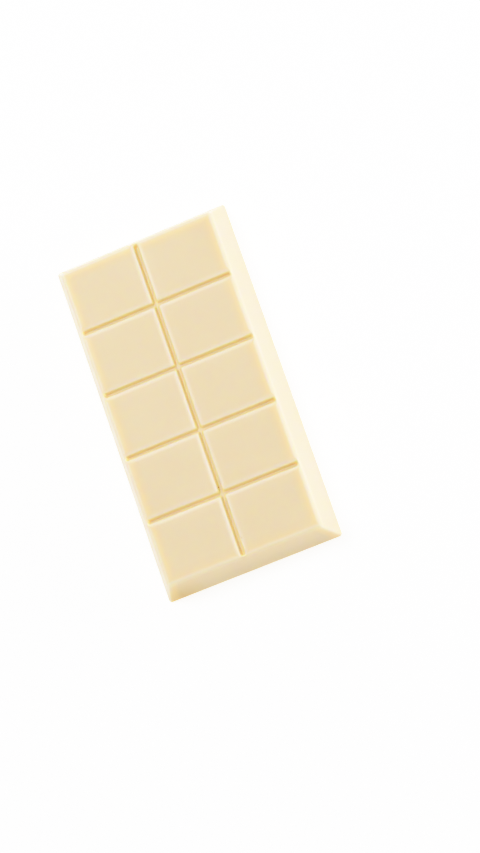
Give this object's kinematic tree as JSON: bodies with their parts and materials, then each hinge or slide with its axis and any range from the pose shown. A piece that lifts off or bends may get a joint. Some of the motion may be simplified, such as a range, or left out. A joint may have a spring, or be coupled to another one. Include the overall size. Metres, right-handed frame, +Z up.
{
  "type": "white chocolate bar",
  "caption": "Whole moulded white chocolate bar with sloping sides, rounded rims and shallow break grooves between its flat blocks.",
  "frame": {"origin": "middle of the flat poured back, which is the surface that the bar lies on", "axes": "+Z up through the grooved face, +Y along the bar's length, +X across it"},
  "size_m": [0.065, 0.125, 0.0109],
  "materials": {
    "white_chocolate": null
  },
  "bodies": {
    "root": {"chocolate_bar": "white_chocolate"}
  },
  "joints": []
}
